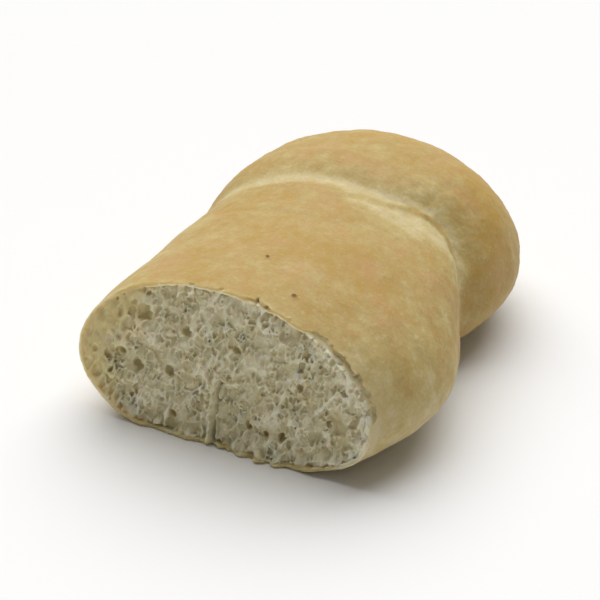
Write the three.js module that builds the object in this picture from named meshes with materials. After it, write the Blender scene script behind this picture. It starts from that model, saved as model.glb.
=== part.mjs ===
// A white bread roll made of lobes baked side by side, cut across: the half with two lobes.
// The half lies along Y. The cut face is at the -Y end and the rounded end at +Y, and it rests on a flat base.
// Lengths are in millimetres, +Z is up, and the origin is the middle of the base's footprint box.

import * as THREE from 'three';

// The whole half, measured from the cut.
const LENGTH = 95;
const WAIST_HEIGHT = 14.2; // height at which every cross-section is widest
const END_WAIST_SHARE = 0.9; // the waist drops to this share of its height at the very end
const END_START = 60; // the rounded end begins here
const UNDERSIDE_LIFT_START = 77; // from here to the end the underside rises off the table
const BEND = -4.7; // how far the far lobe sits to the side of the near lobe
const BEND_START = 20;
const BEND_LENGTH = 50;

// How far the surface lies from the middle line: sideways for right and left, above the waist for top.
// Each lobe has a crest, and the two lobes meet in the crease.
const CREASE_PLACE = 48.6;
const NEAR_LOBE = {
  right: { crest: 39.5, place: 19 },
  left: { crest: 35.3, place: 13 },
  top: { crest: 23.8, place: 12 },
};
const FAR_LOBE = {
  right: { crest: 33.3, place: 65.5 },
  left: { crest: 32.9, place: 61 },
  top: { crest: 24.0, place: 62.5 },
};
const CREASE_REACH = { right: 28.2, left: 32.2, top: 21.8 };
const CREASE_FILLET = 0.8;

// The crease doesn't run straight round the roll: these move it along Y, by the angle round the section.
const CREASE_OFFSET = -1.3;
const CREASE_SLANT = 2.5;
const CREASE_KINK = 11; // it leans back where the top turns into the right side
const CREASE_KINK_ANGLE = 0.73; // radians above the waist
const CREASE_KINK_WIDTH = 0.4;
const CREASE_SHIFT_FADE = 16; // the shift dies away over this distance along Y

// The flat of the base, as a share of the half-width.
const FLAT_SHARE = { right: 0.34, left: 0.51 };

// How finely the solid is cut into facets.
const STATIONS_NEAR = 32;
const STATIONS_END = 14;
const STEPS_UPPER = 32;
const STEPS_LOWER = 8;

const CRUST_COLOUR = 0xc4aa72;
const CRUST_ROUGHNESS = 0.75;

// Goes smoothly from 0 to 1 as t does.
function ease(t) {
  const c = THREE.MathUtils.clamp(t, 0, 1);
  return c * c * (3 - 2 * c);
}

function mix(from, to, share) {
  return from + (to - from) * share;
}

// Quarter ellipse: 1 at t = 0, falling to 0 at t = 1.
function roundOff(t) {
  const c = THREE.MathUtils.clamp(t, 0, 1);
  return Math.sqrt(1 - c * c);
}

// The near lobe's convex arc, and past its crest on into the far lobe.
function nearLobeReach(y, side) {
  const { crest, place } = NEAR_LOBE[side];
  return crest - (crest - CREASE_REACH[side]) * ((y - place) / (CREASE_PLACE - place)) ** 2;
}

// The far lobe's convex arc up to its crest, and the rounded end past it.
function farLobeReach(y, side) {
  const { crest, place } = FAR_LOBE[side];
  if (y < place) {
    return crest - (crest - CREASE_REACH[side]) * ((place - y) / (place - CREASE_PLACE)) ** 2;
  }
  return crest * roundOff((y - place) / (LENGTH - place));
}

// Both lobes as one outline: the larger of the two, with a small fillet where they cross.
function reach(y, side) {
  if (y < NEAR_LOBE[side].place) {
    return nearLobeReach(y, side);
  }
  if (y > FAR_LOBE[side].place) {
    return farLobeReach(y, side);
  }
  const near = nearLobeReach(y, side);
  const far = farLobeReach(y, side);
  return (near + far + Math.hypot(near - far, CREASE_FILLET)) / 2;
}

// How far the crease is moved along Y at this angle round the section.
function creaseShift(y, angle) {
  const kink = Math.exp(-(((angle - CREASE_KINK_ANGLE) / CREASE_KINK_WIDTH) ** 2));
  const shift = CREASE_OFFSET + CREASE_SLANT * Math.cos(angle) + CREASE_KINK * kink;
  return shift * Math.exp(-(((y - CREASE_PLACE) / CREASE_SHIFT_FADE) ** 2));
}

// A point of the surface. Angle 0 is the waist at +X, a quarter turn is the top, and half a turn the waist
// at -X. The upper part is half an ellipse. The lower part is a flat base with a round corner on each side,
// so a quarter turn down from a waist is that side's edge of the flat.
function surfacePoint(y, { angle, side }) {
  const across = Math.cos(angle);
  const up = Math.sin(angle);
  const profileY = y - creaseShift(y, angle);
  const endShare = roundOff((y - END_START) / (LENGTH - END_START));
  const underShare = roundOff((y - UNDERSIDE_LIFT_START) / (LENGTH - UNDERSIDE_LIFT_START));
  const waist = WAIST_HEIGHT * mix(END_WAIST_SHARE, 1, endShare);
  const halfWidth = reach(profileY, side);
  const middleX = BEND * ease((y - BEND_START) / BEND_LENGTH);
  if (up >= 0) {
    return new THREE.Vector3(middleX + halfWidth * across, y, waist + reach(profileY, 'top') * up);
  }
  const outward = side === 'right' ? 1 : -1;
  const flat = FLAT_SHARE[side] * halfWidth;
  const x = middleX + outward * mix(flat, halfWidth, Math.abs(across));
  return new THREE.Vector3(x, y, waist + waist * underShare * up);
}

// The stations along Y get closer together towards the tip, where the outline turns fastest.
function stations() {
  const list = [];
  for (let i = 0; i <= STATIONS_NEAR; i += 1) {
    list.push((END_START * i) / STATIONS_NEAR);
  }
  for (let i = 1; i < STATIONS_END; i += 1) {
    list.push(mix(END_START, LENGTH, Math.sin((Math.PI / 2) * (i / STATIONS_END))));
  }
  return list;
}

// The points round one cross-section, from the flat's right edge up over the top to its left edge.
function sectionSteps() {
  const steps = [];
  for (let i = 0; i < STEPS_LOWER; i += 1) {
    steps.push({ angle: (Math.PI / 2) * (i / STEPS_LOWER - 1), side: 'right' });
  }
  for (let i = 0; i < STEPS_UPPER; i += 1) {
    steps.push({ angle: (Math.PI * i) / STEPS_UPPER, side: i < STEPS_UPPER / 2 ? 'right' : 'left' });
  }
  for (let i = 0; i <= STEPS_LOWER; i += 1) {
    steps.push({ angle: Math.PI + (Math.PI / 2) * (i / STEPS_LOWER), side: 'left' });
  }
  return steps;
}

// One closed body: a fan over the cut face, a skin of rings, and a fan round the tip.
function rollGeometry() {
  const places = stations();
  const steps = sectionSteps();
  const around = steps.length;
  const positions = [];
  const faces = [];
  for (const y of places) {
    for (const step of steps) {
      positions.push(...surfacePoint(y, step).toArray());
    }
  }
  for (let ring = 0; ring + 1 < places.length; ring += 1) {
    for (let step = 0; step < around; step += 1) {
      const a = ring * around + step;
      const b = ring * around + ((step + 1) % around);
      faces.push(a, b + around, b, a, a + around, b + around);
    }
  }
  const cutMiddle = positions.length / 3;
  const tip = cutMiddle + 1;
  positions.push(0, 0, WAIST_HEIGHT);
  positions.push(BEND, LENGTH, WAIST_HEIGHT * END_WAIST_SHARE);
  const lastRing = (places.length - 1) * around;
  for (let step = 0; step < around; step += 1) {
    const next = (step + 1) % around;
    faces.push(cutMiddle, step, next);
    faces.push(tip, lastRing + next, lastRing + step);
  }
  const geometry = new THREE.BufferGeometry();
  geometry.setAttribute('position', new THREE.Float32BufferAttribute(positions, 3));
  geometry.setIndex(faces);
  geometry.computeVertexNormals();
  return geometry;
}

// The crumb shows at the cut and the crust everywhere else, but both are one piece of bread.
function breadRoll() {
  const crust = new THREE.MeshStandardMaterial({
    color: CRUST_COLOUR,
    roughness: CRUST_ROUGHNESS,
    metalness: 0,
  });
  const geometry = rollGeometry();
  geometry.computeBoundingBox();
  const middle = geometry.boundingBox.getCenter(new THREE.Vector3());
  const roll = new THREE.Mesh(geometry, crust);
  roll.name = 'bread_roll';
  roll.position.set(-middle.x, -middle.y, 0);
  return roll;
}

const part = new THREE.Group();
part.add(breadRoll());

export default part;
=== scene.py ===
"""A white bread roll's cut half: one piece of bread with a golden crust, a pale crease and open crumb.

The roll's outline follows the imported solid's dimensions, with a softer crease. The crust is a fine skin
over it with dents, wrinkles and burst bubbles, and the crumb is a foam of cells that the cut has opened.
Lengths are millimetres, counted from the cut as in the solid, and turn into metres when a mesh is made.
"""
import math
from itertools import product

import bpy
import numpy as np
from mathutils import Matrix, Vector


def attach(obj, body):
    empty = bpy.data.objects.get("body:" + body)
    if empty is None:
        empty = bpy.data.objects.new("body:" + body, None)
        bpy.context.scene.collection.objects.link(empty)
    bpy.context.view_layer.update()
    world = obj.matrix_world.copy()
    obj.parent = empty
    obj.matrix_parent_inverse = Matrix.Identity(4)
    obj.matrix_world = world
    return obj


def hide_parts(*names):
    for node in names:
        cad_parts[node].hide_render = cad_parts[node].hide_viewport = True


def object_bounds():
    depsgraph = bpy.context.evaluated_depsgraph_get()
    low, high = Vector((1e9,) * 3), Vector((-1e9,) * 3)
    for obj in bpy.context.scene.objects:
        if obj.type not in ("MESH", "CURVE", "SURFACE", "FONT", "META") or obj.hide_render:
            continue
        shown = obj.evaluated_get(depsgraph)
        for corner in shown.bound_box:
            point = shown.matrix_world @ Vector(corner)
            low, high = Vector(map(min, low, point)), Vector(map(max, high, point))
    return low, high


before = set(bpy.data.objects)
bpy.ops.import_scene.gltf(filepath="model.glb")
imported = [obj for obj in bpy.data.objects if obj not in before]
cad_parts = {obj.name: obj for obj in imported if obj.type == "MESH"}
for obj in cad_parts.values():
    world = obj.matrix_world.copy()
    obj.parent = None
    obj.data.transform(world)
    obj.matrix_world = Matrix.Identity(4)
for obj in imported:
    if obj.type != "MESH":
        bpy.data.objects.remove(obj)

import openvdb
from mathutils import Matrix, Vector

CAD_LOW, CAD_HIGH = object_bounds()
MM = 0.001
CUT_MIDDLE_X = -1.15  # mm from the frame's origin to the roll's middle line at the cut
CUT_CENTRE = Vector((CUT_MIDDLE_X * MM, CAD_LOW[1], 0))
SEED = 20

# ---------------------------------------------------------------- the roll's outline, as in the solid
LENGTH = 95.0
WAIST_HEIGHT = 14.2
END_WAIST_SHARE = 0.9
END_START = 60.0
UNDERSIDE_LIFT_START = 77.0
BEND = -4.7
BEND_START = 20.0
BEND_LENGTH = 50.0
CREASE_PLACE = 48.6
# how far each lobe's crest stands out from the middle line, or above the waist, and its place along Y
NEAR_LOBE = {"right": (39.5, 19.0), "left": (35.3, 13.0), "top": (23.8, 12.0)}
FAR_LOBE = {"right": (33.3, 65.5), "left": (32.9, 61.0), "top": (24.0, 62.5)}
CREASE_REACH = {"right": 28.2, "left": 32.2, "top": 21.8}
CREASE_FILLET = {"right": 2.4, "left": 1.2, "top": 2.2}  # softer than the solid's
CREASE_OFFSET = -1.3
CREASE_SLANT = 2.5
CREASE_KINK = 11.0
CREASE_KINK_ANGLE = 0.73
CREASE_KINK_WIDTH = 0.4
CREASE_SHIFT_FADE = 16.0
CREASE_CROWN = 3.0  # the skin's crease also leans back over the crown, further than the solid's does
CREASE_CROWN_ANGLE = 1.7
CREASE_CROWN_WIDTH = 0.55
FLAT_SHARE = {"right": 0.34, "left": 0.51}

# ---------------------------------------------------------------- how fine the meshes are
CRUST_STEP = 0.55  # between two rings of the skin
END_DENSITY = 1.25  # the rounded end has this many times as many rings
FLAT_STEPS = 44  # points round a ring, over the base's flat
CORNER_STEPS = 44  # and over each lower corner
UPPER_STEPS = 200  # and over the upper part
CRUMB_VOXEL = 0.2
START = -1.9  # the crust's skin begins here, before the cut trims it
CUTTER_START = -2.4
CUTTER_SPAN_X = (-37.6, 41.0)
CUTTER_SPAN_Z = (-0.9, 39.4)
CRUMB_DEPTH = 4.0  # the crumb's cells are worked out this far back from the cut
OPEN_DEPTH = 1.15  # cells open up to this far behind the cut
OPEN_DEPTH_CHANGE = 0.55
SKIN_DEPTH = 0.8  # the crumb under the crust has no open cells to this depth
SKIN_DEPTH_CHANGE = 0.4
CELLS_PER_VOLUME = 0.55  # in a cubic millimetre
CELL_RADIUS = 0.84
CELL_SPREAD = 0.36  # of the radius's logarithm
CELL_LIMITS = (0.5, 2.1)
CELL_STRETCH = ((0.65, 1.0), (0.8, 1.2), (1.1, 2.2))  # least and most, along x, y and z
DENSE_CELL_SHARE = 0.08  # of the cells that the dense crumb keeps
DENSE_CELL_SIZE = 0.85
WALL = 0.16
WALL_CHANGE = 0.14
LEAN = 0.28  # the cells are drawn out upwards and lean to the right by this much
CREST_ROUNDING = 1.05  # how softly the cut breaks away into the cells
DENSE_CREST_ROUNDING = 0.3  # and in the dense crumb at the left
OUTSIDE_FIELD = -0.12  # the cutter's field beyond the grid
LEAST_FIELD = 0.02  # the cutter's field is at least this far from zero
KEPT_FACES = 0.4  # the crumb's mesh is thinned to this share of its faces

# ---------------------------------------------------------------- the texture map's layout
UPPER_PER_RADIAN = 31.2  # mm round the section for a radian of the upper part
LOWER_PER_RADIAN = 17.0
CRUST_MAP_CORNER = (0.005, 0.005)  # where the unrolled crust begins in the map
CRUST_MAP_SCALE = (192, 198)  # mm of crust in the map's whole width and height
CRUST_MAP_OFFSET = (44, 3)  # mm of crust before the right waist and before the cut
CRUMB_MAP_CORNER = (0.01, 0.615)
CRUMB_MAP_SCALE = (80, 102)  # mm of crumb in the map's whole width and height
CRUMB_MAP_OFFSET = 37.5  # mm of crumb to the left of the middle
TIP_MARGIN = 0.02  # points nearer to the tip than this count as the tip


def ease(t):
    """Goes smoothly from 0 to 1 as t does."""
    c = np.clip(t, 0, 1)
    return c * c * (3 - 2 * c)


def mix(a, b, share):
    return a + (b - a) * share


def round_off(t):
    """Quarter ellipse: 1 at t = 0, falling to 0 at t = 1."""
    c = np.clip(t, 0, 1)
    return np.sqrt(1 - c * c)


def bump(t):
    """1 at t = 0, and nearly 0 beyond 2 either way."""
    return np.exp(-t * t)


def noise(p, size, seed):
    """Smooth noise from about -1 to 1 that changes over size, at points p of shape (..., 3)."""
    size = np.broadcast_to(np.asarray(size, dtype=np.float32), (3,))
    q = (p / size).astype(np.float32)
    cell = np.floor(q)
    f = q - cell
    cell = cell.astype(np.int64)
    smooth = f * f * f * (f * (f * 6 - 15) + 10)
    total = np.zeros(q.shape[:-1], dtype=np.float32)
    for corner in product((0, 1), repeat=3):
        # whole-number mixing gives each corner of the grid its own fixed slope
        c = np.array(corner)
        k = cell + c
        h = k[..., 0] * 73856093 ^ k[..., 1] * 19349663 ^ k[..., 2] * 83492791 ^ seed * 2654435761
        h = (h ^ (h >> 13)) & 0xFFFFFFFF
        h = (h * 1540483477 + 12345) & 0xFFFFFFFF
        h = h ^ (h >> 15)
        weight = np.prod(np.where(c == 1, smooth, 1 - smooth), axis=-1)
        slope = sum(
            (((h >> (10 * i)) & 1023) / 511.5 - 1).astype(np.float32) * (f[..., i] - corner[i])
            for i in range(3)
        )
        total += weight * slope
    return total * 1.4


def octaves(p, size, seed, count=3, gain=0.5):
    """Noise with finer and weaker noise added to it."""
    total, scale = 0.0, 1.0
    for i in range(count):
        total = total + scale * noise(p, np.asarray(size) / 2**i, seed + 17 * i)
        scale *= gain
    return total


# ---------------------------------------------------------------- the outline's surface
def reach(y, side):
    """How far the surface lies from the middle line at distance y from the cut."""
    near_crest, near_place = NEAR_LOBE[side]
    far_crest, far_place = FAR_LOBE[side]
    low = CREASE_REACH[side]
    near = near_crest - (near_crest - low) * ((y - near_place) / (CREASE_PLACE - near_place)) ** 2
    far_rise = far_crest - (far_crest - low) * ((far_place - y) / (far_place - CREASE_PLACE)) ** 2
    far_end = far_crest * round_off((y - far_place) / (LENGTH - far_place))
    both = (near + far_rise + np.hypot(near - far_rise, CREASE_FILLET[side])) / 2
    return np.where(y < near_place, near, np.where(y > far_place, far_end, both))


def profile_place(y, angle):
    """The place along the lobes' profile: the crease is moved along Y by the angle round the section."""
    kink = bump((angle - CREASE_KINK_ANGLE) / CREASE_KINK_WIDTH)
    crown = bump((angle - CREASE_CROWN_ANGLE) / CREASE_CROWN_WIDTH)
    shift = CREASE_OFFSET + CREASE_SLANT * np.cos(angle) + CREASE_KINK * kink + CREASE_CROWN * crown
    return y - shift * bump((y - CREASE_PLACE) / CREASE_SHIFT_FADE)


def middle_x(y):
    """The middle line's place sideways: the far lobe sits a little to the left."""
    return BEND * ease((y - BEND_START) / BEND_LENGTH)


def waist_height(y):
    """The height at which the section is widest."""
    return WAIST_HEIGHT * mix(END_WAIST_SHARE, 1, round_off((y - END_START) / (LENGTH - END_START)))


def outline(y, angle, along_flat):
    """Surface points. along_flat runs from -1 to 1 over the base's flat, and is the side's sign off it."""
    across, up = np.cos(angle), np.sin(angle)
    place = profile_place(y, angle)
    right = along_flat >= 0
    half = np.where(right, reach(place, "right"), reach(place, "left"))
    flat = half * np.where(right, FLAT_SHARE["right"], FLAT_SHARE["left"])
    under = round_off((y - UNDERSIDE_LIFT_START) / (LENGTH - UNDERSIDE_LIFT_START))
    waist = waist_height(y)
    is_upper = up >= 0
    x = np.where(is_upper, half * across, flat * along_flat + (half - flat) * across)
    z = np.where(is_upper, waist + reach(place, "top") * up, waist + waist * under * up)
    return np.stack([middle_x(y) + x, y + 0 * x, z], axis=-1)


def ring_parameters():
    """Angle and place on the flat for each point round a section.

    The points run over the base from left to right, then up the right side and round over the top.
    """
    flat = np.linspace(-1, 1, FLAT_STEPS, endpoint=False)
    right = np.linspace(-math.pi / 2, 0, CORNER_STEPS, endpoint=False)
    upper = np.linspace(0, math.pi, UPPER_STEPS, endpoint=False)
    left = np.linspace(math.pi, 1.5 * math.pi, CORNER_STEPS, endpoint=False)
    angle = np.concatenate([np.full(FLAT_STEPS, -math.pi / 2), right, upper, left])
    side = np.where(np.cos(np.concatenate([right, upper, left])) >= 0, 1.0, -1.0)
    return angle, np.concatenate([flat, side])


def stations():
    """The places of the skin's rings along Y. They get closer together towards the tip."""
    near = np.linspace(START, END_START, int((END_START - START) / CRUST_STEP))
    end_steps = int((LENGTH - END_START) / CRUST_STEP * END_DENSITY)
    end = mix(END_START, LENGTH, np.sin(np.linspace(0, math.pi / 2, end_steps + 1)))
    return np.concatenate([near, end[1:-1]])


def grid_normals(points):
    """Outward normals of a grid of points: rows run along Y, columns round the section."""
    along = np.gradient(points, axis=0)
    around = (np.roll(points, -1, axis=1) - np.roll(points, 1, axis=1)) / 2
    n = np.cross(around, along)
    return n / np.maximum(np.linalg.norm(n, axis=-1, keepdims=True), 1e-9)


# ---------------------------------------------------------------- the crust's skin
PINHOLES = [  # x, y and radius of the burst bubbles
    (0.6, 16.6, 0.44), (12.5, 7.2, 0.48), (-8.0, 33.0, 0.25), (17.0, 29.0, 0.22), (4.0, 66.0, 0.28),
]
PINHOLE_STEEPNESS = 1.3  # depth over radius
STRIP_PLACE = 2.6  # mm past the crease's line
STRIP_HALF_WIDTH = 2.8
CREVICE_ANGLE = 0.86  # where the crease is deepest, browned and darkened with painted shade


def crease_marks(points, y, angle):
    """Distance past the crease's line in mm, the pale stretched strip behind it, and the pale torn zone."""
    past = profile_place(y, angle) - CREASE_PLACE
    over_top = ease((angle - 0.8) / 0.4) * ease((3.3 - angle) / 0.8)
    strip = bump((past - STRIP_PLACE) / STRIP_HALF_WIDTH) * over_top
    ragged = 1.6 * octaves(points, (6.0, 4.0, 5.0), SEED + 7, 2)
    before = mix(2.5, 13.0, ease((1.7 - angle) / 0.8)) * mix(0.45, 1.0, ease((angle - 0.1) / 0.6))
    beyond = mix(3.0, 8.0, bump((angle - 0.7) / 0.5))
    torn = ease((past + before + 1.5 + ragged) / 8.0) * ease((beyond - past + ragged) / 5.0)
    torn = torn * ease((2.3 - angle) / 0.9) * ease((angle + 1.5) / 0.6)
    return past, strip, torn


def flank_fold(y, angle):
    """1 along the shallow fold that runs down the near lobe's right side."""
    return bump((y - 8 - 9 * angle) / 2.6) * bump((angle - 0.3) / 0.36)


def crust_relief(points, y, angle, upward):
    """How far the crust stands out from the smooth outline, in mm."""
    past, strip, torn = crease_marks(points, y, angle)
    right_low = ease((np.cos(angle) - 0.55) / 0.4) * bump((y - 20) / 22)
    # broad dents all over, and upright flutes low on the near lobe's right side
    dents = 0.4 * octaves(points, 16.0, SEED + 1, 2) + 0.12 * noise(points, 5.5, SEED + 8)
    flutes = 0.42 * right_low * noise(points, (30.0, 6.0, 26.0), SEED + 2)
    # fine wrinkles, with coarser ones on the far lobe
    far_lobe = ease((past - 2.0) / 6.0)
    wrinkles = mix(0.08, 0.11, far_lobe) * octaves(points, (2.2, 3.0, 2.2), SEED + 3, 3, 0.65)
    wrinkles += 0.16 * far_lobe * octaves(points, (6.5, 4.5, 5.0), SEED + 22, 2)
    # the torn zone's rough skin, the stretched strip's swelling, and two shallow folds
    tears = 0.26 * torn * octaves(points, (4.2, 2.4, 3.4), SEED + 4, 3, 0.6)
    ridges = -0.16 * torn * np.abs(noise(points, (5.0, 2.0, 4.0), SEED + 5))
    stretched = strip * (0.55 + 0.1 * octaves(points, (5.0, 2.4, 4.0), SEED + 6, 2))
    folds = 0.22 * bump((past + 13) / 1.1) * bump((angle - 1.85) / 0.4)
    folds -= 0.45 * flank_fold(y, angle)
    # the crease's own line
    crevice = bump((angle - CREVICE_ANGLE) / 0.26)
    broken = ease(0.6 + noise(points, 5.0, SEED + 10))
    groove = -(0.1 + 0.55 * crevice * broken) * bump((past + 0.5 * noise(points, 4.0, SEED + 9)) / 0.8)
    groove = groove * ease((np.sin(angle) + 0.6) / 0.5)
    relief = dents + flutes + wrinkles + tears + ridges + stretched + folds + groove
    return relief * ease(points[..., 2] / 1.6 + 0.05 * (upward > 0))


def pinhole_depth(points):
    """Small burst bubbles in the top of the crust."""
    depth = np.zeros(points.shape[:-1], dtype=np.float32)
    is_top = points[..., 2] > WAIST_HEIGHT
    for x, y, radius in PINHOLES:
        far = np.hypot(points[..., 0] - x, points[..., 1] - y)
        depth += np.where(is_top, PINHOLE_STEEPNESS * radius * bump(far / radius), 0)
    return depth


def crust_points():
    """The skin's grid of points: rows run along Y, columns round the section."""
    y = stations()[:, None]
    angle, along_flat = ring_parameters()
    angle, along_flat = angle[None, :], along_flat[None, :]
    smooth = outline(y, angle, along_flat)
    normal = grid_normals(smooth)
    y = np.broadcast_to(y, smooth.shape[:2])
    angle = np.broadcast_to(angle, smooth.shape[:2])
    relief = crust_relief(smooth, y, angle, normal[..., 2]) - pinhole_depth(smooth)
    points = smooth + normal * relief[..., None]
    points[..., 2] = np.maximum(points[..., 2], 0)
    return points


def crust_faces(rows, around):
    """The quads between the rings."""
    i = np.arange(rows - 1)[:, None] * around
    j = np.arange(around)[None, :]
    a, b = i + j, i + (j + 1) % around
    return np.stack([a, a + around, b + around, b], axis=-1).reshape(-1, 4)


def make_mesh(name, points, quads, fans=()):
    """A mesh in metres from points in mm, quads, and fans of triangles round one point."""
    mesh = bpy.data.meshes.new(name)
    faces = [tuple(q) for q in quads.tolist()]
    for centre, ring in fans:
        faces += [(centre, int(a), int(b)) for a, b in zip(ring, np.roll(ring, -1))]
    mesh.from_pydata((points * MM).tolist(), [], faces)
    mesh.validate()
    return mesh


def crust_solid():
    """The crust's skin as a closed mesh. It reaches past the cut, where the crumb's cutter trims it."""
    points = crust_points()
    rows, around = points.shape[:2]
    flat = points.reshape(-1, 3)
    front = np.array([[0, START, WAIST_HEIGHT]])
    tip = np.array([[BEND, LENGTH, WAIST_HEIGHT * END_WAIST_SHARE]])
    everything = np.concatenate([flat, front, tip])
    first, last = np.arange(around), np.arange(around) + (rows - 1) * around
    fans = [(len(flat), first), (len(flat) + 1, last[::-1])]
    return make_mesh("crust", everything, crust_faces(rows, around), fans)


# ---------------------------------------------------------------- the crumb
LARGE_PORES = [  # x, z, radius and depth of the pores that stand out
    (5.2, 6.8, 0.95, 2.6), (-19.2, 27.3, 1.7, 1.4), (-12.7, 4.7, 0.8, 2.2), (13.3, 6.6, 0.9, 2.2),
    (9.4, 6.2, 0.7, 2.0), (-21.3, 13.8, 1.3, 2.0), (-24.9, 16.4, 1.0, 1.6), (-13.5, 14.5, 1.0, 1.8),
    (26.5, 13.8, 2.6, 1.1), (-9.3, 25.1, 1.0, 1.8), (2.5, 24.0, 0.9, 1.7), (17.5, 19.5, 0.9, 1.7),
]
# lines on the cut, each a chain of x, z points: the torn strip, the split and the ledge at its top
TORN_STRIP = [(21.5, 33.0), (26.0, 30.0), (30.5, 25.8), (33.8, 21.0), (35.2, 17.0)]
EDGE_CHIPS = [  # x, z, radius and strength of the places where the crust is torn back from the cut
    (14.6, 36.0, 1.6, 0.4), (6.4, 37.4, 2.2, 0.35), (-0.4, 38.0, 1.4, 0.4), (-9.5, 37.4, 2.4, 0.4),
    (-3.2, 0.2, 1.6, 0.9), (-15.0, 0.4, 1.8, 0.4), (14.5, 0.4, 1.5, 0.5),
]
FLAKES = [  # x, z, radius and reach of the bits that stick out along the lower edge
    (-1.2, 0.9, 1.0, 0.9), (3.4, 0.7, 1.7, 1.7), (8.2, 0.8, 1.4, 1.7), (12.6, 0.7, 1.0, 1.2),
    (-9.0, 0.8, 1.2, 0.5), (-20.0, 1.3, 1.4, 0.5),
]
FISSURE = [(-1.6, 15.8), (-2.3, 12.5), (-2.7, 8.5), (-3.4, 4.5), (-3.2, 1.2)]
LEDGE = [(-2.2, 16.3), (0.6, 15.9), (3.4, 16.6)]
FISSURE_DEPTH = (2.8, 1.3)  # at the lower edge and at the top
FISSURE_HALF_WIDTH = 0.42
LIP_OFFSET = 0.75  # the lip stands this far to the left of the split
LIP_HEIGHT = 0.95
LEDGE_HEIGHT = 0.9
EDGE_HALF_WIDTH = 0.45  # of the lip and the ledge
SHELF_DEPTH = 0.65
DENSE_EDGE = -26.5  # where the dense crumb ends at half height


def depth_in_bread(x, y, z):
    """Roughly how deep a point near the cut lies under the crust, in mm. It is negative outside."""
    waist = waist_height(y)
    offset = x - middle_x(y)
    half = np.where(offset >= 0, reach(y, "right"), reach(y, "left"))
    share = np.where(offset >= 0, FLAT_SHARE["right"], FLAT_SHARE["left"])
    across_upper = offset / half
    up_upper = (z - waist) / reach(y, "top")
    across_lower = np.maximum(np.abs(offset) - share * half, 0) / ((1 - share) * half)
    is_upper = z >= waist
    a = np.where(is_upper, across_upper, across_lower)
    b = np.where(is_upper, up_upper, (waist - z) / waist)
    a_size = np.where(is_upper, half, (1 - share) * half)
    b_size = np.where(is_upper, reach(y, "top"), waist)
    q = np.maximum(np.hypot(a, b), 1e-4)
    slope = np.hypot(a / a_size, b / b_size) / q
    return (1 - q) / np.maximum(slope, 1e-4)


def distance_to_line(x, z, line):
    """Distance from points to a chain of straight stretches."""
    best = np.full(x.shape, 1e9, dtype=np.float32)
    for (x0, z0), (x1, z1) in zip(line, line[1:]):
        dx, dz = x1 - x0, z1 - z0
        t = np.clip(((x - x0) * dx + (z - z0) * dz) / (dx * dx + dz * dz), 0, 1)
        best = np.minimum(best, np.hypot(x - x0 - t * dx, z - z0 - t * dz))
    return best


def dense_zone(x, z):
    """1 in the smooth, dense crumb at the left of the cut, 0 in the open crumb."""
    p = np.stack([x, 0 * x, z], axis=-1)
    inside = depth_in_bread(x, np.zeros_like(x), z)
    wander = 3.4 * octaves(p, 4.5, SEED + 70, 3)
    edge = DENSE_EDGE + 8.0 * ease((z - 16) / 12) + 1.5 * ease((8 - z) / 8) + wander
    return ease((edge - x) / 10.0 + 0.5) * ease((inside + 0.2) / 0.3)


def fibres(x, z):
    """1 along the crests of torn cell walls, which stand out of the cut, and 0 between them."""
    leaning = np.stack([x - LEAN * z, 0 * x, z], axis=-1)
    coarse = 1 - 2.6 * np.abs(noise(leaning, (3.0, 1.0, 5.2), SEED + 18))
    fine = 1 - 2.8 * np.abs(noise(leaning, (1.6, 1.0, 2.8), SEED + 19))
    patchy = ease(0.6 + noise(leaning, 6.0, SEED + 20))
    return np.clip(np.maximum(coarse, 0.75 * fine), 0, 1) * patchy


def cut_surface(x, z):
    """How far the torn cut lies behind the straight cut plane, in mm."""
    p = np.stack([x, 0 * x, z], axis=-1)
    inside = depth_in_bread(x, np.zeros_like(x), z)
    # the torn crumb's unevenness, coarse and fine, and its crests
    near_crust = ease((1.8 - inside) / 1.6)
    crumbly = 1 - near_crust
    along_top = ease((z - 14) / 8)
    sunk = bump((inside - 1.05) / 0.45) * along_top * np.clip(0.5 + 0.9 * noise(p, 4.0, SEED + 15), 0, 1)
    back = 0.34 * octaves(p, 7.5, SEED + 11, 2, 0.7)
    leaning = np.stack([x - LEAN * z, 0 * x, z], axis=-1)
    back += crumbly * 0.36 * octaves(leaning, (1.5, 1.0, 4.2), SEED + 12, 3, 0.7)
    back += near_crust * 0.3 * octaves(p, 6.0, SEED + 13, 4, 0.7)
    back += crumbly * 0.5 * noise(leaning, (3.2, 1.0, 4.2), SEED + 17)
    back -= crumbly * 0.55 * fibres(x, z) * (1 - 0.7 * dense_zone(x, z))
    # the ridge inside the upper right rim, the sunk line under the top crust, and the dense crumb
    back -= 0.5 * bump((inside - 1.7) / 0.8) * ease((x - 14) / 10) * ease(0.6 + octaves(p, 3.0, SEED + 21))
    back += 0.5 * sunk
    back += crumbly * dense_zone(x, z) * (0.3 * octaves(p, 3.0, SEED + 23, 2) + 0.1)
    # the bits along the lower edge, the split with its lip, and the ledge with the shelf below it
    for cx, cz, radius, reach_out in FLAKES:
        away = np.hypot(x - cx, z - cz) / (radius * (1 + 0.7 * octaves(p, 1.5, SEED + 16, 2)))
        back -= reach_out * bump(away) ** 0.7
    wander = 0.5 * noise(p, 2.5, SEED + 14)
    fissure = distance_to_line(x + wander, z, FISSURE)
    lip = distance_to_line(x + LIP_OFFSET + wander, z, FISSURE)
    ledge = distance_to_line(x, z + wander, LEDGE)
    shelf = ease((x + 2.7) / 0.5) * ease((9 - x) / 7) * ease((16 - z) / 1.2)
    back = back + mix(*FISSURE_DEPTH, ease(z / 9)) * bump(fissure / FISSURE_HALF_WIDTH)
    back = back - LIP_HEIGHT * bump(lip / EDGE_HALF_WIDTH)
    return back - LEDGE_HEIGHT * bump(ledge / EDGE_HALF_WIDTH) + SHELF_DEPTH * shelf


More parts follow.
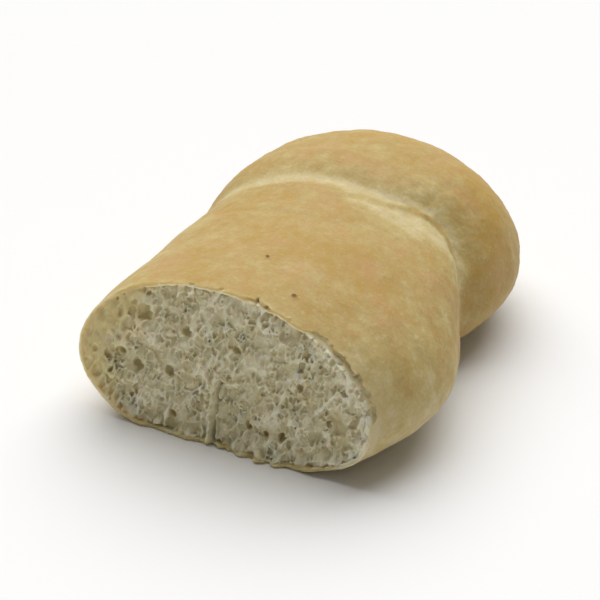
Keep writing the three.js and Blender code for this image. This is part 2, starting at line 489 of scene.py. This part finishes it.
def crumb_grid():
    """The lowest corner and the three axes of the grid that the crumb is worked out on."""
    low = np.array([CUTTER_SPAN_X[0], CUTTER_START, CUTTER_SPAN_Z[0]])
    high = np.array([CUTTER_SPAN_X[1], CRUMB_DEPTH + 0.4, CUTTER_SPAN_Z[1]])
    counts = 2 * np.ceil((high - low) / CRUMB_VOXEL / 2).astype(int) + 1
    axes = [low[i] + CRUMB_VOXEL * np.arange(counts[i]) for i in range(3)]
    return low, axes


def crumb_cells(rng, low, high):
    """Centres and three half-axes of the bubbles in the dough."""
    volume = np.prod(high - low)
    count = int(volume * CELLS_PER_VOLUME)
    centres = rng.uniform(low, high, (count, 3))
    radius = np.clip(rng.lognormal(math.log(CELL_RADIUS), CELL_SPREAD, count), *CELL_LIMITS)
    inside = depth_in_bread(centres[:, 0], centres[:, 1], centres[:, 2])
    dense = dense_zone(centres[:, 0], centres[:, 2])
    radius *= mix(0.6, 1.0, ease((inside - 0.6) / 2.5)) * mix(1.0, DENSE_CELL_SIZE, dense)
    stretch = np.stack([rng.uniform(least, most, count) for least, most in CELL_STRETCH], axis=-1)
    keep = rng.uniform(0, 1, count) < mix(1.0, DENSE_CELL_SHARE, dense)
    return centres[keep], (radius[:, None] * stretch)[keep], radius[keep]


def doubled(values):
    """The grid at twice the resolution along each axis, with averages between the old points."""
    for axis in range(3):
        values = np.moveaxis(values, axis, 0)
        fine = np.empty((2 * values.shape[0] - 1, *values.shape[1:]), dtype=np.float32)
        fine[0::2] = values
        fine[1::2] = (values[:-1] + values[1:]) / 2
        values = np.moveaxis(fine, 0, axis)
    return values


def grid_noise(axes, size, seed):
    """Noise on the whole grid, worked out at every second point.

    The grid has an odd number of points each way.
    """
    coarse = np.stack(np.meshgrid(*(a[::2] for a in axes), indexing="ij"), axis=-1)
    return doubled(noise(coarse, size, seed))


def foam(axes, low):
    """The crumb's field: positive in the walls between bubbles, negative in the bubbles, roughly in mm."""
    rng = np.random.default_rng(SEED)
    gx, gy, gz = np.meshgrid(*(a.astype(np.float32) for a in axes), indexing="ij")
    warped = []
    for i, g in enumerate((gx, gy, gz)):
        warped.append(g + 0.5 * grid_noise(axes, (1.9, 1.9, 3.2), SEED + 30 + i))
    px, py, pz = warped
    px -= LEAN * (gz - WAIST_HEIGHT)
    shape = px.shape
    nearest = np.full(shape, 9.0, dtype=np.float32)
    second = np.full(shape, 9.0, dtype=np.float32)
    size = np.full(shape, 0.6, dtype=np.float32)
    high = np.array([a[-1] for a in axes])
    centres, half_axes, radius = crumb_cells(rng, low, high)
    spread = half_axes * 1.4 + 0.6
    spread[:, 0] += LEAN * spread[:, 2]
    first = np.floor((centres - spread - low) / CRUMB_VOXEL).astype(int)
    last = np.ceil((centres + spread - low) / CRUMB_VOXEL).astype(int) + 1
    centres[:, 0] -= LEAN * (centres[:, 2] - WAIST_HEIGHT)
    first = np.maximum(first, 0)
    last = np.minimum(last, shape)
    for c, h, r, a, b in zip(centres, half_axes, radius, first, last):
        s = (slice(a[0], b[0]), slice(a[1], b[1]), slice(a[2], b[2]))
        across, along, up = (px[s] - c[0]) / h[0], (py[s] - c[1]) / h[1], (pz[s] - c[2]) / h[2]
        d = np.sqrt(across**2 + along**2 + up**2)
        old = nearest[s]
        second[s] = np.minimum(second[s], np.maximum(old, d))
        size[s] = np.where(d < old, r, size[s])
        nearest[s] = np.minimum(old, d)
    wall = WALL + WALL_CHANGE * grid_noise(axes, 1.6, SEED + 40) + 0.1 * grid_noise(axes, 6.0, SEED + 41)
    between = (wall - (second - nearest) * size) / 2
    return np.maximum((nearest - 1) * size, between), (gx, gy, gz)


def soften(field):
    """A light three-point blur along each axis."""
    for axis in range(3):
        field = (np.roll(field, 1, axis) + 6 * field + np.roll(field, -1, axis)) / 8
    return field


def connected(mask, seed_mask):
    """The part of mask that hangs together with seed_mask."""
    found = mask & seed_mask
    while True:
        grown = found.copy()
        for axis in range(3):
            ahead = [slice(None)] * 3
            behind = [slice(None)] * 3
            ahead[axis], behind[axis] = slice(1, None), slice(None, -1)
            ahead, behind = tuple(ahead), tuple(behind)
            grown[ahead] |= grown[behind] & mask[ahead]
            grown[behind] |= grown[ahead] & mask[behind]
        if grown.sum() == found.sum():
            return found
        found = grown


def soft_min(a, b, reach_mm):
    """The smaller of two fields, rounded off where they are closer than reach_mm."""
    near = np.maximum(reach_mm - np.abs(a - b), 0) / reach_mm
    return np.minimum(a, b) - near * near * reach_mm / 4


def with_large_pores(solid, x, y, z, axes):
    """The crumb's field with the large pores hollowed out of it."""
    pore_shape = 0.45 * grid_noise(axes, 1.5, SEED + 54)
    for cx, cz, radius, depth in LARGE_PORES:
        away = ((x - cx) / radius) ** 2 + ((y - 0.3 * depth) / depth) ** 2 + ((z - cz) / radius / 1.3) ** 2
        solid = np.minimum(solid, (np.sqrt(away) - 1 + pore_shape) * radius)
    return solid


def torn_rim(x, z):
    """How far the crust is torn back round the cut, in mm."""
    plane = np.stack([x, 0 * x, z], axis=-1)
    torn_back = 0.45 * octaves(plane, 6.0, SEED + 52, 2, 0.5) - 0.15
    ragged = 1 + 0.45 * octaves(plane, 3.6, SEED + 53, 3, 0.5)
    bites = ease((octaves(plane, 3.4, SEED + 55, 3, 0.6) - 0.02) / 0.6) * ease((z - 20) / 8)
    torn_back += 0.55 * bites
    torn_back += 1.1 * ragged * bump(distance_to_line(x, z, TORN_STRIP) / 1.7) ** 0.8
    for cx, cz, radius, strength in EDGE_CHIPS:
        torn_back = torn_back + strength * ragged * bump(np.hypot(x - cx, z - cz) / radius)
    return np.maximum(torn_back, 0)


def mesh_round_field(name, field, low):
    """The mesh round the part of the grid where the field is positive. Beyond the grid is outside."""
    for axis in range(3):
        edge = [slice(None)] * 3
        for end in (0, -1):
            edge[axis] = end
            field[tuple(edge)] = OUTSIDE_FIELD
    grid = openvdb.FloatGrid(OUTSIDE_FIELD)
    grid.copyFromArray(np.ascontiguousarray(field, dtype=np.float32))
    points, quads = grid.convertToQuads()
    points = np.asarray(points) * CRUMB_VOXEL + low
    return make_mesh(name, points, np.asarray(quads)[:, ::-1])


def crumb_cutter():
    """The solid taken away at the cut: the slab in front of it and every cell that opens onto it."""
    low, axes = crumb_grid()
    walls, (x, y, z) = foam(axes, low)
    plane_x, plane_z = np.meshgrid(axes[0], axes[2], indexing="ij")
    back = cut_surface(plane_x, plane_z)[:, None, :]
    inside = depth_in_bread(x, y, z)
    skin = SKIN_DEPTH + SKIN_DEPTH_CHANGE * grid_noise(axes, 1.6, SEED + 50) - inside
    open_depth = OPEN_DEPTH + OPEN_DEPTH_CHANGE * grid_noise(axes, 3.0, SEED + 51)
    open_depth *= 1 - 0.6 * dense_zone(plane_x + 2.5, plane_z)[:, None, :]
    deep = (y - back - open_depth) * 0.6
    solid = soften(np.maximum(walls, deep))
    solid = with_large_pores(solid, x, y, z, axes)
    rounding = mix(CREST_ROUNDING, DENSE_CREST_ROUNDING, dense_zone(plane_x, plane_z))
    solid = soft_min(solid, y - back, rounding[:, None, :])
    solid = np.maximum(solid, np.minimum(skin, y - back))
    torn_back = torn_rim(plane_x, plane_z)[:, None, :]
    solid = np.minimum(solid, np.maximum(inside - 0.9 * torn_back, y - 1.9 * torn_back))
    # loose bits go, and cells that don't open onto the cut stay filled
    is_solid = connected(solid > 0, y > CRUMB_DEPTH)
    removed = connected(~is_solid, y < CUTTER_START + 3 * CRUMB_VOXEL)
    field = np.where(removed, np.maximum(-solid, LEAST_FIELD), np.minimum(-solid, -LEAST_FIELD))
    return thin_out(mesh_round_field("cutter", field, low), KEPT_FACES)


# ---------------------------------------------------------------- one piece of bread
def link(mesh, name):
    """A new object in the scene that shows the mesh."""
    obj = bpy.data.objects.new(name, mesh)
    bpy.context.scene.collection.objects.link(obj)
    return obj


def mark_faces(mesh, name, value):
    """Gives every face of the mesh the same value under this name."""
    layer = mesh.attributes.new(name, "FLOAT", "FACE")
    layer.data.foreach_set("value", np.full(len(mesh.polygons), value, dtype=np.float32))


def applied(obj):
    """The object's mesh with its modifiers applied. The object goes."""
    depsgraph = bpy.context.evaluated_depsgraph_get()
    result = bpy.data.meshes.new_from_object(obj.evaluated_get(depsgraph))
    bpy.data.objects.remove(obj)
    return result


def thin_out(mesh, share):
    """The mesh with only this share of its faces left."""
    obj = link(mesh, "thinned")
    modifier = obj.modifiers.new("thin", "DECIMATE")
    modifier.ratio = share
    return applied(obj)


def take_away(mesh, cutter):
    """The crust's solid with the crumb's cutter taken out of it. Faces from the cutter keep crumb = 1."""
    mark_faces(mesh, "crumb", 0.0)
    mark_faces(cutter, "crumb", 1.0)
    body, tool = link(mesh, "body"), link(cutter, "tool")
    modifier = body.modifiers.new("cut", "BOOLEAN")
    modifier.operation = "DIFFERENCE"
    modifier.solver = "MANIFOLD"
    modifier.object = tool
    result = applied(body)
    bpy.data.objects.remove(tool)
    return result


def vertex_points(mesh):
    """Vertex positions in mm."""
    co = np.empty(len(mesh.vertices) * 3, dtype=np.float32)
    mesh.vertices.foreach_get("co", co)
    return co.reshape(-1, 3) / MM


def section_angle(points):
    """The angle round the section for points on or near the outline."""
    x, y, z = points.T
    y = np.clip(y, 0, LENGTH - 0.5)
    offset = x - middle_x(y)
    waist = waist_height(y)
    right = offset >= 0
    share = np.where(right, FLAT_SHARE["right"], FLAT_SHARE["left"])
    place, angle = y, np.zeros_like(y)
    for _ in range(3):
        half = np.where(right, reach(place, "right"), reach(place, "left"))
        top = reach(place, "top")
        upper = np.arctan2((z - waist) / top, offset / half)
        beyond = np.maximum(np.abs(offset) - share * half, 0) / ((1 - share) * half)
        lower = np.arctan2((z - waist) / waist, np.where(right, beyond, -beyond))
        angle = np.where(z >= waist, upper, lower)
        place = profile_place(y, angle)
    return angle


def add_layer(mesh, name, values):
    """Stores one value for each vertex, which the material reads by name."""
    layer = mesh.attributes.new(name, "FLOAT", "POINT")
    layer.data.foreach_set("value", np.asarray(values, dtype=np.float32))


def toast_amount(points, y, angle):
    """How brown the crust is, from 0 for pale to 1 for the brownest."""
    past, strip, torn = crease_marks(points, y, angle)
    # the two lobes and their two sides brown differently, and the low parts stay pale
    up = np.sin(angle)
    right = ease((np.cos(angle) - 0.25) / 0.6)
    left = ease((-np.cos(angle) - 0.35) / 0.5)
    far_lobe = ease((past + 1.0) / 4.0)
    toast = mix(mix(0.68, 0.57, far_lobe), mix(0.47, 0.78, far_lobe), right)
    toast += 0.26 * bump((angle - 1.0) / 0.35) * bump((y - 24) / 14)
    toast = mix(toast, mix(0.5, 0.7, far_lobe), left)
    low = ease((0.30 - up) / 0.75)
    toast = mix(toast, mix(0.02, 0.5, far_lobe), low)
    # paler on the near lobe's flank with painted shade along its fold, and painted light on the far lobe's
    # shoulder behind the crease, which lifts the crease's shade
    flank = ease((np.cos(angle) - 0.55) / 0.3) * ease((28 - y) / 18) * ease((up + 0.3) / 0.4)
    # painted shade: the crust is made browner along the flank's fold
    toast -= 0.34 * flank - 0.3 * flank_fold(y, angle)
    # painted light: the far lobe's shoulder behind the crease is made paler against the crease's shade
    toast -= 0.45 * bump((y - 60) / 5.5) * bump((angle - 0.85) / 0.35)
    # browner and paler patches, and the back end browner on top
    toast += 0.26 * octaves(points, 11.0, SEED + 60, 2)
    back_end = ease((y - 66) / 14)
    toast += 0.22 * back_end * (ease((up - 0.35) / 0.5) - ease((0.25 - up) / 0.5))
    toast += (0.24 - 0.1 * back_end) * (1 - 0.6 * flank) * octaves(points, 4.0, SEED + 61, 3, 0.6)
    # never quite raw, then the pale marks of the crease, its crevice browned and partly darkened with
    # painted shade, and the pale edge at the cut
    toast = (toast + 0.08 + np.hypot(toast - 0.08, 0.12)) / 2
    toast = mix(toast, 0.0, strip * 0.9)
    toast = mix(toast, 0.03, torn * 0.86)
    # partly painted shade: the crevice and a thin line just before the crease are made browner
    crevice = bump((angle - CREVICE_ANGLE) / 0.3) * bump(past / 1.1)
    toast += 0.7 * crevice + 0.1 * bump((past + 1.0) / 0.8) * (1 - crevice)
    at_cut = ease((2.6 - y) / 2.6) * ease((points[:, 2] - 3) / 8)
    return toast - 0.42 * at_cut * (0.7 + noise(points, 2.0, SEED + 62))


def add_layers(mesh):
    """Stores what the material has to know about each place of the bread."""
    points = vertex_points(mesh)
    x, y, z = points[:, 0], points[:, 1], points[:, 2]
    add_layer(mesh, "toast", toast_amount(points, y, section_angle(points)))
    add_layer(mesh, "hole", pinhole_depth(points))
    add_layer(mesh, "pit", y - cut_surface(x, z))
    add_layer(mesh, "lower", ease((7 - z) / 3))
    under = depth_in_bread(x, np.clip(y, 0, 6), z)
    add_layer(mesh, "under", under)
    add_layer(mesh, "dense", dense_zone(x, z))
    add_layer(mesh, "fibre", fibres(x, z))
    # painted highlight along the raised ridge inside the upper right rim, the split's lip and the ledge
    rim_line = bump((under - 1.8) / 0.9) * ease((x - 12) / 10) * ease((1.6 - y) / 1.2)
    lip = bump(distance_to_line(x + LIP_OFFSET, z, FISSURE) / 0.6)
    lip = lip + bump(distance_to_line(x, z, LEDGE) / 0.6)
    add_layer(mesh, "edge_highlight", np.clip(rim_line + lip, 0, 1))
    right_side = ease((x - 22) / 6) * bump((z - 8) / 9)
    left_side = ease((-24 - x) / 5)
    add_layer(mesh, "pale_rim", np.maximum(right_side, left_side))


def distance_round(points, side):
    """How far round the section a point lies, in mm from the right waist.

    The base is counted from the given side, 1 for right and -1 for left.
    """
    x, y, _ = points.T
    angle = section_angle(points)
    half = reach(y, "right") if side > 0 else reach(y, "left")
    share = FLAT_SHARE["right"] if side > 0 else FLAT_SHARE["left"]
    on_flat = np.maximum(share * half - side * (x - middle_x(y)), 0)
    upper = UPPER_PER_RADIAN * angle
    if side > 0:
        lower = LOWER_PER_RADIAN * angle - on_flat
    else:
        lower = UPPER_PER_RADIAN * math.pi + LOWER_PER_RADIAN * (angle % (2 * math.pi) - math.pi) + on_flat
    return np.where(angle >= 0, upper, lower)


def add_map(mesh):
    """The texture map for baking: the crust unrolled below, and the crumb seen from the front above it."""
    loops, faces = len(mesh.loops), len(mesh.polygons)
    corner, total = np.empty(loops, dtype=np.int32), np.empty(faces, dtype=np.int32)
    crumb = np.empty(faces, dtype=np.float32)
    mesh.loops.foreach_get("vertex_index", corner)
    mesh.polygons.foreach_get("loop_total", total)
    mesh.attributes["crumb"].data.foreach_get("value", crumb)
    face = np.repeat(np.arange(faces), total)
    points = vertex_points(mesh)
    x, y, z = points.T
    offset = (x - middle_x(y))[corner]
    is_right = (np.bincount(face, offset, faces) >= 0)[face]
    around = np.where(is_right, distance_round(points, 1)[corner], distance_round(points, -1)[corner])
    # the tip has no place of its own round the section, so it takes its face's
    is_tip = (y > LENGTH - TIP_MARGIN)[corner]
    corners_beside = np.maximum(np.bincount(face, ~is_tip, faces), 1)
    beside_tip = np.bincount(face, around * ~is_tip, faces) / corners_beside
    around = np.where(is_tip, beside_tip[face], around)
    end_length = LENGTH - END_START
    past_end_start = np.clip((y - END_START) / end_length, 0, 1)
    along = np.where(y < END_START, y, END_START + end_length * np.arcsin(past_end_start))
    is_crumb = crumb[face] > 0.5
    crust_u = CRUST_MAP_CORNER[0] + (around + CRUST_MAP_OFFSET[0]) / CRUST_MAP_SCALE[0]
    crust_v = CRUST_MAP_CORNER[1] + (along[corner] + CRUST_MAP_OFFSET[1]) / CRUST_MAP_SCALE[1]
    crumb_u = CRUMB_MAP_CORNER[0] + (x[corner] + CRUMB_MAP_OFFSET) / CRUMB_MAP_SCALE[0]
    crumb_v = CRUMB_MAP_CORNER[1] + z[corner] / CRUMB_MAP_SCALE[1]
    u = np.where(is_crumb, crumb_u, crust_u)
    v = np.where(is_crumb, crumb_v, crust_v)
    layer = mesh.uv_layers.new(name="OFBake")
    layer.data.foreach_set("uv", np.stack([u, v], axis=-1).astype(np.float32).ravel())


def bread_mesh():
    """The whole half as one closed mesh, in the frame's coordinates."""
    mesh = take_away(crust_solid(), crumb_cutter())
    mesh.name = "bread_roll_baked"
    add_layers(mesh)
    add_map(mesh)
    mesh.transform(Matrix.Translation(CUT_CENTRE))
    mesh.materials.clear()
    mesh.polygons.foreach_set("use_smooth", [True] * len(mesh.polygons))
    mesh.update()
    return mesh


# ---------------------------------------------------------------- material
class Graph:
    """A short way to write a shader graph: each method adds a node and gives its output."""

    def __init__(self, name):
        self.material = bpy.data.materials.new(name)
        self.material.use_nodes = True
        self.tree = self.material.node_tree
        self.tree.nodes.clear()

    def node(self, kind, inputs, output=0, **settings):
        """Adds a node. An input is a number, a colour or another node's output."""
        node = self.tree.nodes.new(kind)
        for name, value in settings.items():
            setattr(node, name, value)
        for name, value in inputs.items():
            if isinstance(value, bpy.types.NodeSocket):
                self.tree.links.new(value, node.inputs[name])
            else:
                node.inputs[name].default_value = value
        return node.outputs[output] if len(node.outputs) else None

    def layer(self, name):
        """One of the mesh's stored values."""
        return self.node("ShaderNodeAttribute", {}, "Fac", attribute_name=name)

    def math(self, operation, a, b=0.0):
        return self.node("ShaderNodeMath", {0: a, 1: b}, operation=operation)

    def add(self, *values):
        total = values[0]
        for value in values[1:]:
            total = self.math("ADD", total, value)
        return total

    def noise(self, size_mm, strength=1.0, detail=2.0, roughness=0.5):
        """Noise centred on zero, up to about strength, that changes over size_mm."""
        place = self.node("ShaderNodeTexCoord", {}, "Object")
        per_metre = 1 / (size_mm * MM)
        place = self.node("ShaderNodeVectorMath", {0: place, 1: (per_metre,) * 3}, operation="MULTIPLY")
        inputs = {"Vector": place, "Scale": 1.0, "Detail": detail, "Roughness": roughness}
        value = self.node("ShaderNodeTexNoise", inputs, "Fac")
        return self.math("MULTIPLY", self.math("SUBTRACT", value, 0.5), 3.2 * strength)

    def step(self, value, low, high):
        """0 below low, 1 above high, and smooth between them."""
        inputs = {"Value": value, "From Min": low, "From Max": high}
        return self.node("ShaderNodeMapRange", inputs, interpolation_type="SMOOTHSTEP")

    def blend(self, share, a, b):
        """Colour or number a turned into b by share."""
        if isinstance(a, tuple) or (isinstance(a, bpy.types.NodeSocket) and a.type == "RGBA"):
            colours = [(*c, 1.0) if isinstance(c, tuple) else c for c in (a, b)]
            return self.node("ShaderNodeMix", {0: share, 6: colours[0], 7: colours[1]}, 2, data_type="RGBA")
        return self.node("ShaderNodeMix", {0: share, 2: a, 3: b}, 0, data_type="FLOAT")

    def ramp(self, value, stops):
        """The colour at value on a scale of colours."""
        out = self.node("ShaderNodeValToRGB", {0: value})
        elements = out.node.color_ramp.elements
        while len(elements) < len(stops):
            elements.new(0.5)
        for element, (place, colour) in zip(elements, stops):
            element.position = place
            element.color = (*colour, 1.0)
        return out


CRUST_COLOURS = [
    (0.0, (0.63, 0.525, 0.30)),
    (0.12, (0.58, 0.465, 0.225)),
    (0.3, (0.51, 0.39, 0.15)),
    (0.6, (0.47, 0.33, 0.113)),
    (1.0, (0.45, 0.285, 0.065)),
]
ORANGE_COLOUR = (0.52, 0.30, 0.12)
FRECKLE_COLOUR = (0.43, 0.27, 0.12)
FLECK_COLOUR = (0.60, 0.46, 0.22)
# painted shade: the dark colour of the burst bubbles' hollows
BUBBLE_SHADE_COLOUR = (0.16, 0.08, 0.012)
CRUMB_COLOUR = (0.65, 0.59, 0.385)
# painted highlight on the crumb's raised crests, torn walls and edges
CREST_HIGHLIGHT_COLOUR = (0.81, 0.755, 0.56)
DENSE_CRUMB_COLOUR = (0.67, 0.56, 0.27)
DENSE_PATCH_COLOUR = (0.62, 0.50, 0.22)
# painted shade deep in the crumb's pits, and the tone of darker patches
PIT_SHADE_AND_PATCH_COLOUR = (0.58, 0.50, 0.28)
RIM_COLOUR = (0.60, 0.47, 0.21)
# painted shade for the rim's pits
RIM_PIT_SHADE_COLOUR = (0.36, 0.24, 0.08)
PALE_RIM_COLOUR = (0.72, 0.64, 0.42)
CRUST_SCATTER, CRUMB_SCATTER = 1.6, 2.8  # how far light goes into them, in mm
FINE_BUMPS = 0.09  # mm


def crust_colour(g):
    """Browner and paler patches with fine mottling, orange patches, freckles, pale flecks, and painted
    shade in the burst bubbles.
    """
    mottling = g.add(g.noise(2.6, 0.28), g.noise(0.7, 0.22))
    mottling = g.math("MULTIPLY", mottling, g.blend(g.step(g.layer("toast"), 0.05, 0.5), 0.4, 1.0))
    toast = g.add(g.layer("toast"), mottling)
    crust = g.ramp(toast, CRUST_COLOURS)
    browned = g.step(g.layer("toast"), 0.2, 0.6)
    orange = g.math("MULTIPLY", g.step(g.noise(8.0, 1.0, 3.0), -0.1, 0.7), browned)
    crust = g.blend(orange, crust, g.blend(0.5, crust, ORANGE_COLOUR))
    freckles = g.step(g.noise(1.1, 1.0, 1.5), 0.32, 0.62)
    freckles = g.math("MULTIPLY", freckles, browned)
    crust = g.blend(g.math("MULTIPLY", freckles, 0.45), crust, FRECKLE_COLOUR)
    flecks = g.math("MULTIPLY", g.step(g.noise(1.2, 1.0, 2.5), 0.25, 0.7), browned)
    crust = g.blend(g.math("MULTIPLY", flecks, 0.25), crust, FLECK_COLOUR)
    # painted shade: the burst bubbles are coloured dark by their depth
    return g.blend(g.step(g.layer("hole"), 0.05, 0.3), crust, BUBBLE_SHADE_COLOUR)


def crumb_colour(g):
    """Painted highlight on the crests and torn walls, painted shade in the pits, yellow dense crumb at the
    left, brown along the crust.
    """
    # painted shade: the crumb is darker and yellower deeper in the pits
    pit = g.step(g.add(g.layer("pit"), g.noise(0.8, 0.15)), 0.6, 1.5)
    # painted highlight: the shallow crests are made lighter
    crest = g.step(g.add(g.layer("pit"), g.noise(0.5, 0.1)), 0.15, 0.85)
    crumb = g.blend(pit, g.blend(crest, CREST_HIGHLIGHT_COLOUR, CRUMB_COLOUR), PIT_SHADE_AND_PATCH_COLOUR)
    # darker patches at random, in the pits' colour
    crumb = g.blend(g.step(g.noise(4.0, 0.6, 3.0), -0.4, 0.6), g.blend(0.2, crumb, PIT_SHADE_AND_PATCH_COLOUR), crumb)
    # painted highlight on the raised torn walls, the rim's ridge, the split's lip and the ledge
    fibre = g.math("MULTIPLY", g.step(g.layer("fibre"), 0.15, 0.9), g.math("SUBTRACT", 1.0, pit))
    bright = g.math("MULTIPLY", g.layer("edge_highlight"), g.step(g.noise(1.4, 1.0, 3.0), -0.6, 0.4))
    crumb = g.blend(g.math("MAXIMUM", fibre, bright), crumb, CREST_HIGHLIGHT_COLOUR)
    dense = g.blend(g.step(g.noise(1.8, 1.0, 3.0), -0.3, 0.6), DENSE_CRUMB_COLOUR, DENSE_PATCH_COLOUR)
    crumb = g.blend(g.math("MULTIPLY", g.layer("dense"), 0.95), crumb, dense)
    under = g.add(g.layer("under"), g.noise(1.6, 0.3))
    width = g.blend(g.layer("lower"), 0.7, g.add(2.0, g.noise(4.0, 1.4)))
    rim = g.math("SUBTRACT", 1.0, g.step(g.math("DIVIDE", under, width), 0.2, 1.0))
    rim_colour = g.blend(g.layer("pale_rim"), RIM_COLOUR, PALE_RIM_COLOUR)
    # painted shade: the rim is darker and browner down in its pits
    rim_colour = g.blend(pit, rim_colour, g.blend(0.6, rim_colour, RIM_PIT_SHADE_COLOUR))
    return g.blend(rim, crumb, rim_colour)


def bread_material():
    """Crust where the crumb layer is 0 and crumb where it is 1. Light goes a little way into both."""
    g = Graph("bread")
    crust, crumb = crust_colour(g), crumb_colour(g)
    is_crumb = g.layer("crumb")
    colour = g.blend(is_crumb, crust, crumb)
    rough_crust = g.add(0.62, g.noise(1.0, 0.06))
    roughness = g.blend(is_crumb, rough_crust, 0.9)
    height = g.add(g.noise(0.8, 0.5), g.noise(0.28, 0.35))
    bump_inputs = {"Height": height, "Strength": 0.6, "Distance": FINE_BUMPS * MM}
    normal = g.node("ShaderNodeBump", bump_inputs)
    shader = g.node(
        "ShaderNodeBsdfPrincipled",
        {
            "Base Color": colour,
            "Roughness": roughness,
            "Normal": normal,
            "IOR": 1.42,
            "Specular IOR Level": 0.4,
            "Subsurface Weight": g.blend(is_crumb, 0.3, 0.75),
            "Subsurface Radius": (1.0, 0.72, 0.42),
            "Subsurface Scale": g.blend(is_crumb, CRUST_SCATTER * MM, CRUMB_SCATTER * MM),
        },
    )
    g.node("ShaderNodeOutputMaterial", {"Surface": shader})
    return g.material


# ---------------------------------------------------------------- stage, light and camera
VIEW_AZIMUTH = math.radians(30.5)  # the camera stands this far to the right of the cut's front
VIEW_ELEVATION = math.radians(30.0)
VIEW_WIDTH = 123.7  # how much of the scene the frame takes in across the object
VIEW_DISTANCE = 3500.0
AIM_RIGHT, AIM_UP = 15.6, 31.0  # from the middle of the cut's lower edge to the middle of the frame
SENSOR_WIDTH = 36.0
FARTHEST_SEEN = 200.0  # metres
FLOOR_REACH = 30.0  # metres from the middle to each edge
TABLE_COLOUR = (0.86, 0.855, 0.85, 1)
SUN_TOWARDS = (-0.25, 0.42, 0.9)  # the light comes from above and a little behind
SUN_STRENGTH = 3.32
SUN_ANGLE = 75  # degrees, which makes the light as soft as a large window's
SURROUNDINGS_STRENGTH = 0.2


def make_camera():
    """A camera far off with a long lens, so that the view has hardly any perspective."""
    a, e = VIEW_AZIMUTH, VIEW_ELEVATION
    right = Vector((math.cos(a), math.sin(a), 0))
    back = Vector((math.sin(a) * math.cos(e), -math.cos(a) * math.cos(e), math.sin(e)))
    up = back.cross(right)
    camera = bpy.data.objects.new("camera", bpy.data.cameras.new("camera"))
    bpy.context.scene.collection.objects.link(camera)
    aim = CUT_CENTRE + (right * AIM_RIGHT + up * AIM_UP) * MM
    camera.location = aim + back * VIEW_DISTANCE * MM
    camera.rotation_euler = back.to_track_quat("Z", "Y").to_euler()
    camera.data.sensor_width = SENSOR_WIDTH
    camera.data.lens = SENSOR_WIDTH * VIEW_DISTANCE / VIEW_WIDTH
    camera.data.clip_end = FARTHEST_SEEN
    bpy.context.scene.camera = camera


def make_floor():
    """A white table that fills the view."""
    size = FLOOR_REACH
    corners = [(-size, -size, 0), (size, -size, 0), (size, size, 0), (-size, size, 0)]
    mesh = bpy.data.meshes.new("floor")
    mesh.from_pydata(corners, [], [(0, 1, 2, 3)])
    g = Graph("white_table")
    shader = g.node("ShaderNodeBsdfPrincipled", {"Base Color": TABLE_COLOUR, "Roughness": 0.8})
    g.node("ShaderNodeOutputMaterial", {"Surface": shader})
    mesh.materials.append(g.material)
    floor = link(mesh, "floor")


def make_lights():
    """One wide, soft light from above, and a little light from all round."""
    light = bpy.data.lights.new("overhead", "SUN")
    light.energy = SUN_STRENGTH
    light.angle = math.radians(SUN_ANGLE)
    overhead = bpy.data.objects.new("overhead", light)
    overhead.rotation_euler = Vector(SUN_TOWARDS).to_track_quat("Z", "Y").to_euler()
    bpy.context.scene.collection.objects.link(overhead)
    world = bpy.data.worlds.new("world")
    world.use_nodes = True
    background = world.node_tree.nodes["Background"]
    background.inputs["Color"].default_value = (1, 1, 1, 1)
    background.inputs["Strength"].default_value = SURROUNDINGS_STRENGTH
    bpy.context.scene.world = world
    bpy.context.scene.view_settings.view_transform = "Standard"


def make_bread():
    """The one piece of bread, which takes the solid's place."""
    bread = link(bread_mesh(), "bread_roll_half")
    bread.data.materials.append(bread_material())
    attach(bread, "root")
    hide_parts("bread_roll")


def main():
    make_camera()
    make_lights()
    make_floor()
    make_bread()


main()
